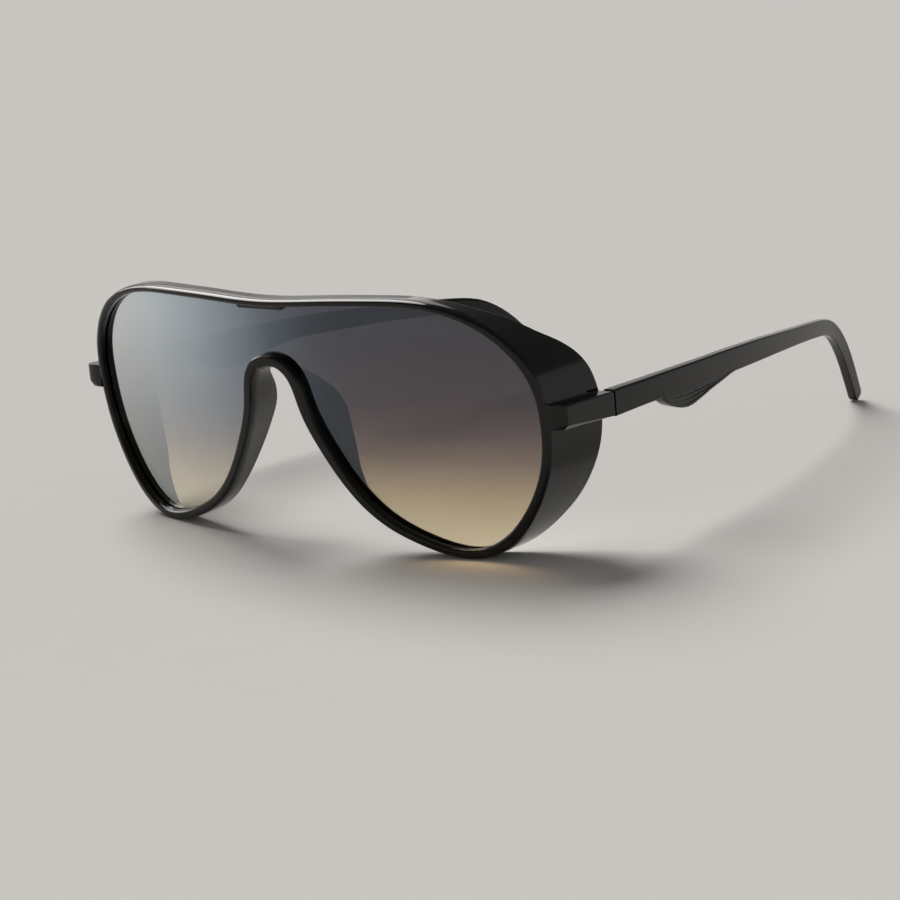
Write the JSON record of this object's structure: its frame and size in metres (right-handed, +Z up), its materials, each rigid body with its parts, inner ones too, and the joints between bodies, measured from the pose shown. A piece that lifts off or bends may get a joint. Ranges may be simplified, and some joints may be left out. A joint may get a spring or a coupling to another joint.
{
  "type": "sunglasses",
  "caption": "Shield sunglasses: wrapped gradient lens in a moulded front with side shields and nose pads, folding temples on screwed hinges.",
  "frame": {"origin": "on the floor, under the middle of the open sunglasses' overall width and length", "axes": "+X towards the wearer's left, -Y the way the lens faces, +Z up"},
  "size_m": [0.145, 0.1714, 0.0587],
  "materials": {
    "black_plastic": "polished injection-moulded black",
    "lens_tint": "smoke tint fading to clear amber at the bottom, mirror-like coating",
    "hinge_steel": "bright stamped steel"
  },
  "bodies": {
    "front": {"front_frame": "black_plastic", "shield_lens": "lens_tint", "hinge_front_leaf_left": "hinge_steel", "hinge_front_leaf_right": "hinge_steel", "hinge_screw_left": "hinge_steel", "hinge_screw_right": "hinge_steel", "front_leaf_screw_left_1": "hinge_steel", "front_leaf_screw_left_2": "hinge_steel", "front_leaf_screw_right_1": "hinge_steel", "front_leaf_screw_right_2": "hinge_steel"},
    "temple_left": {"temple_left": "black_plastic", "hinge_temple_leaf_left": "hinge_steel", "temple_leaf_screw_left_1": "hinge_steel", "temple_leaf_screw_left_2": "hinge_steel"},
    "temple_right": {"temple_right": "black_plastic", "hinge_temple_leaf_right": "hinge_steel", "temple_leaf_screw_right_1": "hinge_steel", "temple_leaf_screw_right_2": "hinge_steel"}
  },
  "joints": [
    {"name": "fold_left", "type": "hinge", "parent": "front", "child": "temple_left", "pos_m": [0.0659, -0.05331, 0.0322], "axis": [0, 0, 1], "range_deg": [0, 83]},
    {"name": "fold_right", "type": "hinge", "parent": "front", "child": "temple_right", "pos_m": [-0.0659, -0.05331, 0.0322], "axis": [0, 0, -1], "range_deg": [0, 79]}
  ]
}
